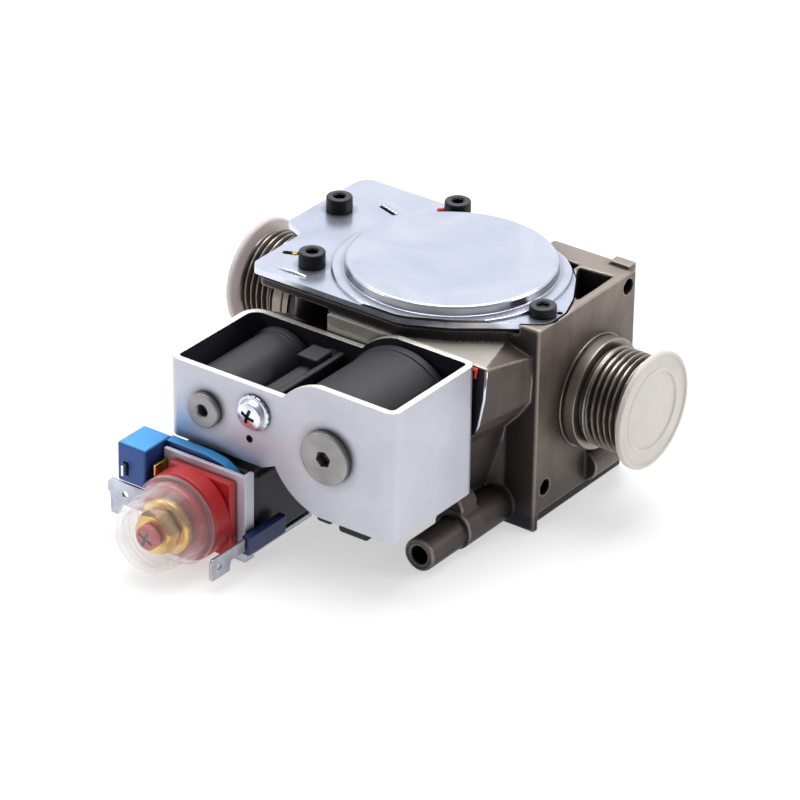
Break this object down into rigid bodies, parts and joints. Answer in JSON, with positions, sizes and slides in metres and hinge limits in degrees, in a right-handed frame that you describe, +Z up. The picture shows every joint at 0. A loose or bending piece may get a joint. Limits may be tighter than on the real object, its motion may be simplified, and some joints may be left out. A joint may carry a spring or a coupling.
{
  "type": "gas valve",
  "caption": "Boiler gas valve: cast body with threaded ports, solenoid coils in a sheet bracket, diaphragm regulator under a domed cover, and a modulating pressure adjuster.",
  "frame": {"origin": "middle of the footprint, at the level the flange and the modulator's frame stand on", "axes": "+X along the gas way out of the outlet port, +Y away from the coils, +Z up through the cover plate"},
  "size_m": [0.1244, 0.1246, 0.0613],
  "materials": {
    "cast_metal": "sand-cast grain, warm grey, satin",
    "zinc_plate": "bright bluish zinc plating",
    "satin_steel": "satin zinc-plated sheet",
    "black_screw": "black oxide",
    "coil_moulding": "charcoal moulding",
    "grey_steel": "turned steel",
    "plug_plastic": "off-white plastic",
    "brass": "turned brass",
    "red_plastic": "red plastic",
    "blue_plastic": "light blue plastic",
    "clear_plastic": "clear plastic",
    "rubber": "black rubber",
    "filter_mesh": "fine wire mesh"
  },
  "bodies": {
    "valve": {"valve_body": "cast_metal", "cover_plate": "zinc_plate", "cover_gasket": "rubber", "cover_screw_1": "black_screw", "cover_screw_2": "black_screw", "cover_screw_3": "black_screw", "cover_screw_4": "black_screw", "diaphragm": "rubber", "regulator_spring": "grey_steel", "coil_bracket": "satin_steel", "coil_spacer": "coil_moulding", "bracket_screw": "zinc_plate", "inlet_filter": "filter_mesh", "modulator_frame": "zinc_plate", "modulator_coil": "coil_moulding", "modulator_bobbin": "blue_plastic", "modulator_tube": "brass", "modulator_base": "red_plastic", "max_pressure_seat": "brass", "modulator_spring": "grey_steel", "spade_1": "brass", "spade_2": "brass", "modulator_spade": "zinc_plate", "spade_carrier": "blue_plastic", "earth_tab": "zinc_plate", "ev1_coil": "coil_moulding", "ev1_guide_tube": "brass", "ev1_core_screw": "grey_steel", "ev1_spring": "grey_steel", "ev2_coil": "coil_moulding", "ev2_guide_tube": "brass", "ev2_core_screw": "grey_steel", "ev2_spring": "grey_steel"},
    "first_valve": {"ev1_plunger": "grey_steel", "ev1_valve_disc": "rubber"},
    "second_valve": {"ev2_plunger": "grey_steel", "ev2_valve_disc": "rubber"},
    "regulator": {"diaphragm_plate": "zinc_plate", "regulator_stem": "grey_steel", "main_valve_disc": "rubber"},
    "modulator_core": {"modulator_plunger": "grey_steel", "servo_valve_disc": "rubber"},
    "max_nut": {"max_pressure_nut": "brass"},
    "min_screw": {"min_pressure_screw": "red_plastic"},
    "clear_cap": {"modulator_cap": "clear_plastic"},
    "outlet_cap": {"outlet_plug": "plug_plastic"},
    "inlet_cap": {"inlet_plug": "plug_plastic"},
    "nipple_screw": {"test_nipple_screw": "grey_steel"}
  },
  "joints": [
    {"name": "first_valve_lift", "type": "slide", "parent": "valve", "child": "first_valve", "axis": [0, -1, 0], "range_m": [0, 0.0024], "stiffness_N_per_m": 900, "springref_m": -0.003, "deforming": ["ev1_spring"]},
    {"name": "second_valve_lift", "type": "slide", "parent": "valve", "child": "second_valve", "axis": [0, -1, 0], "range_m": [0, 0.002], "stiffness_N_per_m": 600, "springref_m": -0.003, "deforming": ["ev2_spring"]},
    {"name": "regulator_lift", "type": "slide", "parent": "valve", "child": "regulator", "axis": [0, 0, 1], "range_m": [0, 0.003], "stiffness_N_per_m": 300, "springref_m": -0.003, "deforming": ["regulator_spring", "diaphragm"]},
    {"name": "modulator_stroke", "type": "slide", "parent": "valve", "child": "modulator_core", "axis": [0, 1, 0], "range_m": [0, 0.0015], "stiffness_N_per_m": 500, "springref_m": -0.002, "deforming": ["modulator_spring"]},
    {"name": "max_pressure_turn", "type": "hinge", "parent": "valve", "child": "max_nut", "pos_m": [-0.0195, -0.0552, 0.0119], "axis": [0, -1, 0], "range_deg": [-180, 180]},
    {"name": "min_pressure_turn", "type": "hinge", "parent": "max_nut", "child": "min_screw", "pos_m": [-0.0195, -0.0582, 0.0119], "axis": [0, -1, 0], "range_deg": [-180, 180]},
    {"name": "clear_cap_pull", "type": "slide", "parent": "valve", "child": "clear_cap", "axis": [0, -1, 0], "range_m": [0, 0.03]},
    {"name": "outlet_cap_pull", "type": "slide", "parent": "valve", "child": "outlet_cap", "axis": [1, 0, 0], "range_m": [0, 0.02]},
    {"name": "inlet_cap_pull", "type": "slide", "parent": "valve", "child": "inlet_cap", "axis": [-1, 0, 0], "range_m": [0, 0.02]},
    {"name": "nipple_screw_turn", "type": "hinge", "parent": "valve", "child": "nipple_screw", "pos_m": [0.0313, -0.0082, 0.0047], "axis": [0, -1, 0], "range_deg": [0, 360]}
  ]
}
